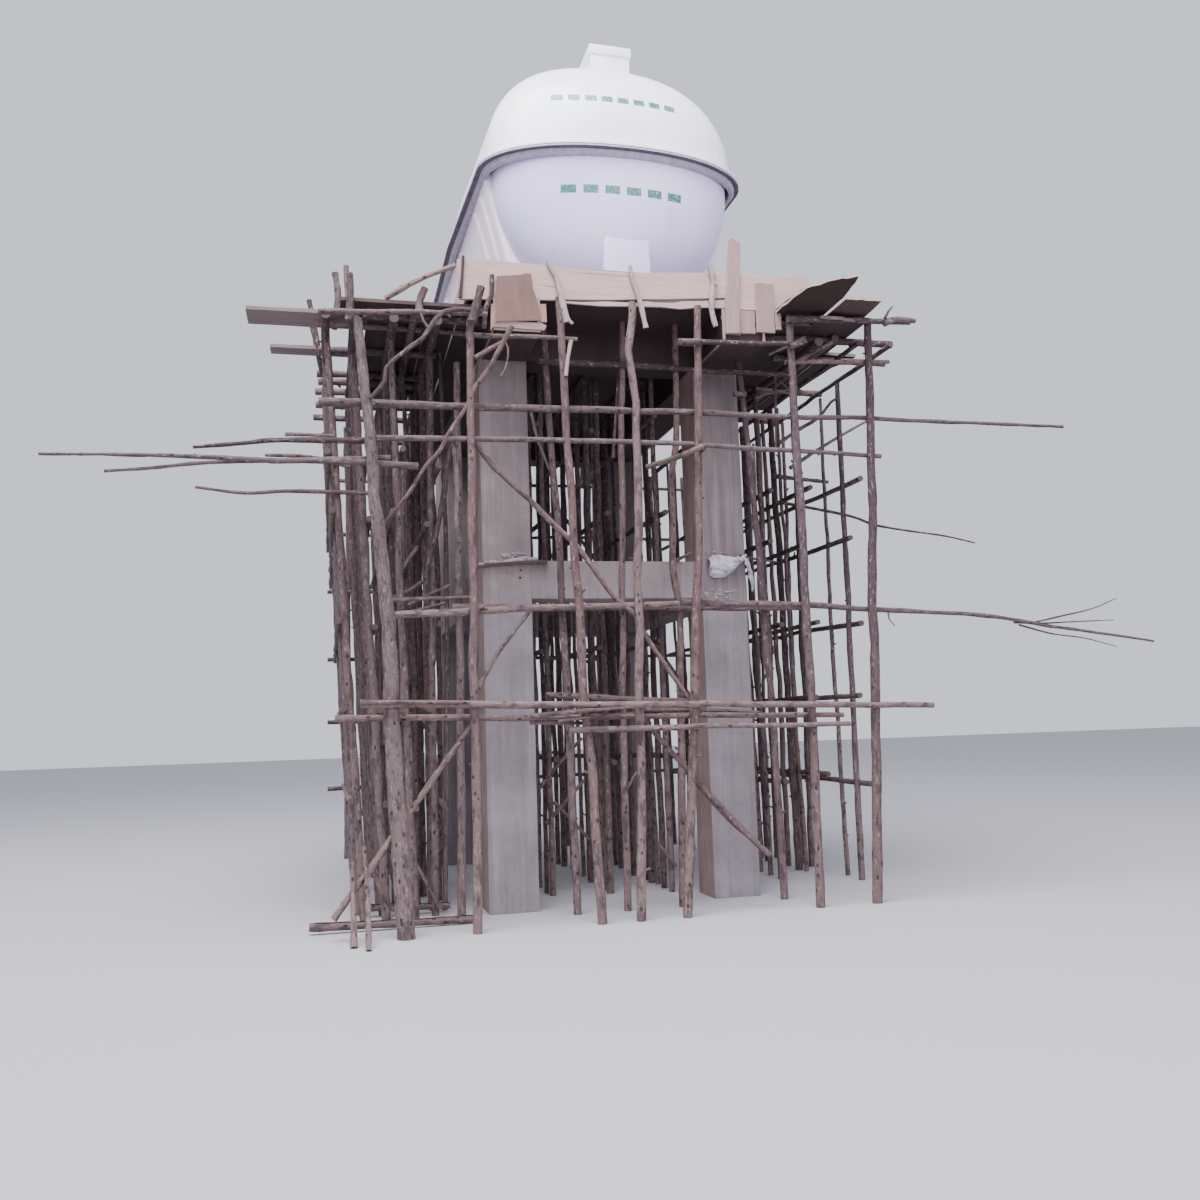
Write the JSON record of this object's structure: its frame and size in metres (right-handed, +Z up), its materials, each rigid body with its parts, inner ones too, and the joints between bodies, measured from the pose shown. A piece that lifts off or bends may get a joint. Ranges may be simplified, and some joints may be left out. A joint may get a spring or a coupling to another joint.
{
  "type": "elevated water tank tower",
  "caption": "Plastic water tank on a concrete column frame with slab, still in its board formwork and a dense scaffold of rough poles.",
  "frame": {"origin": "on the ground, under the middle of the bounding box", "axes": "+X to the right seen from the front, +Y to the back, +Z up"},
  "size_m": [8.901, 6.2424, 7.8],
  "materials": {
    "concrete": "cast concrete with board marks and streaks",
    "sawn_board": "pale sawn formwork board",
    "plywood": "dark weathered sheet",
    "bark_poles": "rough poles with thin bark and knots",
    "tank_shell": "white moulded shell, satin",
    "hatch_shell": "pale grey moulded box, satin"
  },
  "bodies": {
    "root": {"beam_box_front_left": "sawn_board", "beam_box_front_right": "sawn_board", "beam_box_rear_left": "sawn_board", "beam_box_rear_right": "sawn_board", "column_front_left": "concrete", "column_front_right": "concrete", "column_rear_left": "concrete", "column_rear_right": "concrete", "deck_beam_left": "concrete", "deck_beam_right": "concrete", "deck_bearers_left": "bark_poles", "deck_bearers_right": "bark_poles", "deck_cross_beam_front": "concrete", "deck_cross_beam_rear": "concrete", "deck_slab": "concrete", "formwork_front_board": "sawn_board", "formwork_left_board": "sawn_board", "formwork_rear_board": "sawn_board", "formwork_right_board": "sawn_board", "long_rail_left": "bark_poles", "long_rail_middle": "bark_poles", "long_rail_upper": "bark_poles", "platform_deck_left": "plywood", "platform_deck_right": "plywood", "platform_front_plank_left": "sawn_board", "platform_plank_left": "sawn_board", "platform_plank_left_rear": "sawn_board", "platform_sheet_right": "plywood", "platform_sheet_right_outer": "plywood", "pole_frame_front": "bark_poles", "pole_frame_front_second": "bark_poles", "pole_frame_left_inner": "bark_poles", "pole_frame_left_middle": "bark_poles", "pole_frame_left_outer": "bark_poles", "pole_frame_left_second": "bark_poles", "pole_frame_rear": "bark_poles", "pole_frame_right_inner": "bark_poles", "pole_frame_right_middle": "bark_poles", "pole_frame_right_outer": "bark_poles", "pole_frame_under_left": "bark_poles", "pole_frame_under_middle": "bark_poles", "pole_frame_under_right": "bark_poles", "soffit_board_front": "plywood", "soffit_board_left": "plywood", "soffit_board_middle": "plywood", "soffit_board_rear": "plywood", "soffit_board_right": "plywood", "tank_front_bowl": "tank_shell", "tank_front_foot": "tank_shell", "tank_hatch_box": "hatch_shell", "tank_lower_shell": "tank_shell", "tank_rear_bowl": "tank_shell", "tank_rear_foot": "tank_shell", "tank_rim_flange": "tank_shell", "tank_upper_shell": "tank_shell", "tie_beam_front": "concrete", "tie_beam_left": "concrete", "tie_beam_rear": "concrete", "tie_beam_right": "concrete", "upright_board_right": "sawn_board"}
  },
  "joints": []
}
